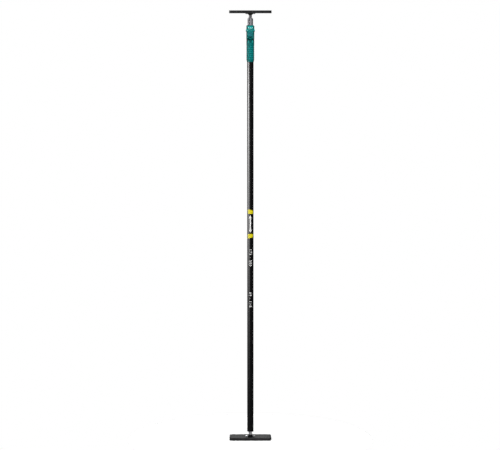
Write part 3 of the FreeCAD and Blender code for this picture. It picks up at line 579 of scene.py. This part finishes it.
class POLE_OT_lock(bpy.types.Operator):
    """Lock housing, lever, thumb pad, pin, shoe and rings"""
    bl_idname = "pole.lock"
    bl_label = "Lock"

    def execute(self, context):
        sizes, finish = context.scene.pole_sizes, context.scene.pole_finish
        paint_nodes(satin_plastic("moulded_teal", finish.teal, 0.24, 0.36, 2200, 0.28), "lock_housing")
        # The lever's darker teal is painted shade on its front face
        paint_nodes(satin_plastic("moulded_lever", finish.lever, 0.24, 0.36, 2200, 0.24), "clamp_lever")
        soft = satin_plastic("soft_pad", finish.thumb, 0.55, 0.7, 2600, 0.15)
        paint_nodes(soft, "lever_thumb_pad")
        place(self.bars(sizes), "lever", "teal_pad", soft)
        zinc = plated("plated_screws", finish.zinc, 1.0, 0.22, 0.38)
        place(self.screws(sizes), "outer", "steel", zinc)
        paint_nodes(satin_plastic("moulded_black", finish.plastic, 0.38, 0.52, 2000),
                    "guide_ring", "wiper_ring", "brake_shoe", "slide_bush", "inner_end_plug")
        paint_nodes(moulded_rubber(finish.rubber), "shoe_lining")
        paint_nodes(zinc, "lever_pin")
        return {"FINISHED"}

    def bars(self, sizes):
        """Raised bars across the thumb pad, rounded and tapering to nothing at their ends."""
        low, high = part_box("lever_thumb_pad")
        stations, steps = 12, 6
        bm = bmesh.new()
        for index in range(sizes.bars):
            middle = low.z + (high.z - low.z) * (index + 1) / (sizes.bars + 1)
            rows = []
            for station in range(stations + 1):
                share = 2 * station / stations - 1
                rise = sizes.bar_height * math.sqrt(max(0.0, 1 - share ** 4))
                across = sizes.bar_length / 2 * share
                arch = [math.pi * step / steps for step in range(steps + 1)]
                rows.append([bm.verts.new((across, low.y - rise * math.sin(angle),
                                           middle - sizes.bar_width / 2 * math.cos(angle)))
                             for angle in arch])
            for left, right in zip(rows, rows[1:]):
                for step in range(steps):
                    bm.faces.new((left[step], right[step], right[step + 1], left[step + 1]))
        return finished("thumb_bars", bm)

    def screws(self, sizes):
        """Two socket screws that hold the housing to the tube, in its back."""
        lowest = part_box("lock_housing")[0].z + sizes.screw_rise
        radius, height = sizes.screw_radius, sizes.screw_height
        bm = bmesh.new()
        for level in (lowest, lowest + sizes.screw_pitch):
            capped(bm, (0, sizes.housing_back, level), (0, 1, 0),
                   [(radius, -height / 3, False), (radius, height / 3, False),
                    (radius * 0.93, height * 0.5, False), (radius * 0.82, height * 0.6, False),
                    (radius * 0.5, height * 0.6, True), (radius * 0.48, -height / 6, True)])
        return finished("housing_screws", bm)


class POLE_OT_pads(bpy.types.Operator):
    """Pads at both ends with their hinges, and the plugs in the tubes"""
    bl_idname = "pole.pads"
    bl_label = "Pads and hinges"

    def execute(self, context):
        finish = context.scene.pole_finish
        paint = powder_coat(finish.paint)
        zinc = plated("zinc_plate", finish.zinc, 1.0, 0.22, 0.38)
        cast = plated("cast_plug", finish.plug, 0.5, 0.30, 0.45)
        dark = plated("dark_pin", finish.pin, 0.4, 0.40, 0.55)
        rubber = moulded_rubber(finish.rubber)
        nylon = satin_plastic("plain_nylon", finish.nylon, 0.45, 0.6, 1800)
        for end in ("foot", "head"):
            paint_nodes(rubber, end + "_rubber_pad")
            paint_nodes(paint, end + "_plate", end + "_hinge_block")
            paint_nodes(zinc, end + "_hinge_straps", end + "_block_rivets")
            paint_nodes(dark, end + "_hinge_pin")
            paint_nodes(nylon, end + "_hinge_washers")
        paint_nodes(cast, "lower_end_plug", "upper_end_plug")
        paint_nodes(zinc, "lower_plug_pin", "upper_plug_pin")
        return {"FINISHED"}


class POLE_OT_stage(bpy.types.Operator):
    """Pale floor, soft light and the camera"""
    bl_idname = "pole.stage"
    bl_label = "Stage"

    def execute(self, context):
        stage = context.scene.pole_stage
        self.floor(stage)
        self.world(context, stage)
        self.lights(stage)
        self.camera(context, stage)
        context.scene.view_settings.view_transform = "Standard"
        return {"FINISHED"}

    def floor(self, stage):
        bm = bmesh.new()
        bmesh.ops.create_circle(bm, cap_ends=True, segments=96, radius=stage.floor_radius)
        piece = finished("floor", bm)
        finish = Finish("floor_paper", specular=0.0)
        finish.tint(stage.floor, finish.noise(2, 2), 0.01)
        finish.shader.inputs["Roughness"].default_value = 1.0
        piece.data.materials.append(finish.material)
        piece.visible_glossy = False

    def world(self, context, stage):
        """Even faint light, and plain white where the camera looks past the floor."""
        world = bpy.data.worlds.new("studio")
        world.use_nodes = True
        context.scene.world = world
        nodes, links = world.node_tree.nodes, world.node_tree.links
        nodes.clear()
        output = nodes.new("ShaderNodeOutputWorld")
        mix = nodes.new("ShaderNodeMixShader")
        path = nodes.new("ShaderNodeLightPath")
        soft, seen = nodes.new("ShaderNodeBackground"), nodes.new("ShaderNodeBackground")
        soft.inputs["Strength"].default_value = stage.world
        seen.inputs["Strength"].default_value = 1.0
        links.new(path.outputs["Is Camera Ray"], mix.inputs["Fac"])
        links.new(soft.outputs["Background"], mix.inputs[1])
        links.new(seen.outputs["Background"], mix.inputs[2])
        links.new(mix.outputs["Shader"], output.inputs["Surface"])
        soft.inputs["Color"].default_value = (1, 1, 1, 1)
        seen.inputs["Color"].default_value = (1, 1, 1, 1)

    def lights(self, stage):
        self.sun("top_light", stage.top_sun, stage.top_spread, stage.top_from)
        self.sun("key_light", stage.key_sun, stage.key_spread, stage.key_from).visible_glossy = False
        hood = bpy.data.lights.new("hood_light", "AREA")
        hood.shape = "DISK"
        hood.size = stage.hood_size
        hood.energy = stage.hood_lamp
        lamp = self.aimed(hood, stage.hood_from, stage.hood_at)
        lamp.visible_camera = False
        lamp.visible_glossy = False
        for name, degrees, distance, width, low, high in PANELS:
            self.panel(name, degrees, distance, width, low, high, getattr(stage, name))

    def sun(self, name, strength, spread, origin):
        light = bpy.data.lights.new(name, "SUN")
        light.energy = strength
        light.angle = spread
        return self.aimed(light, origin, (0, 0, 0))

    def panel(self, name, degrees, distance, width, low, high, shine):
        """Soft panel that shows in reflections only, turned from the front; each row has a brightness."""
        angle, row = math.radians(degrees), (high - low) / len(shine)
        for index, brightness in enumerate(shine):
            light = bpy.data.lights.new("%s_%d" % (name, index), "AREA")
            light.shape = "RECTANGLE"
            light.size, light.size_y = width, row
            light.energy = brightness * math.pi * width * row
            level = high - row * (index + 0.5)
            lamp = self.aimed(light, (-distance * math.sin(angle), -distance * math.cos(angle), level),
                              (0, 0, level))
            lamp.visible_camera = False
            lamp.visible_diffuse = False

    def aimed(self, light, origin, target):
        lamp = bpy.data.objects.new(light.name, light)
        lamp.location = origin
        lamp.rotation_euler = (Vector(target) - Vector(origin)).to_track_quat("-Z", "Y").to_euler()
        bpy.context.scene.collection.objects.link(lamp)
        return lamp

    def camera(self, context, stage):
        data = bpy.data.cameras.new("camera")
        data.lens = stage.lens
        data.clip_end = 200
        camera = bpy.data.objects.new("camera", data)
        camera.location = (stage.side, -stage.distance, stage.height)
        look = Vector((stage.side, 0, stage.aim)) - camera.location
        camera.rotation_euler = look.to_track_quat("-Z", "Y").to_euler()
        context.scene.collection.objects.link(camera)
        context.scene.camera = camera


class POLE_PT_panel(bpy.types.Panel):
    """Buttons that dress the pole, in order"""
    bl_label = "Support pole"
    bl_idname = "POLE_PT_panel"
    bl_space_type = "VIEW_3D"
    bl_region_type = "UI"
    bl_category = "Pole"

    def draw(self, context):
        for step in STEPS:
            self.layout.operator(step.bl_idname)
        for group in (context.scene.pole_sizes, context.scene.pole_finish, context.scene.pole_stage):
            box = self.layout.box()
            for name in group.__annotations__:
                box.prop(group, name)


STEPS = (POLE_OT_tubes, POLE_OT_label, POLE_OT_grip, POLE_OT_lock, POLE_OT_pads, POLE_OT_stage)
GROUPS = {"pole_sizes": PoleSizes, "pole_finish": PoleFinish, "pole_stage": PoleStage}


def register():
    for group in GROUPS.values():
        bpy.utils.register_class(group)
    for name, group in GROUPS.items():
        setattr(bpy.types.Scene, name, PointerProperty(type=group))
    for step in STEPS:
        bpy.utils.register_class(step)
    bpy.utils.register_class(POLE_PT_panel)


def unregister():
    bpy.utils.unregister_class(POLE_PT_panel)
    for step in reversed(STEPS):
        bpy.utils.unregister_class(step)
    for name, group in GROUPS.items():
        delattr(bpy.types.Scene, name)
        bpy.utils.unregister_class(group)


def main():
    register()
    for step in STEPS:
        group, name = step.bl_idname.split(".")
        getattr(getattr(bpy.ops, group), name)()


if __name__ == "__main__":
    main()
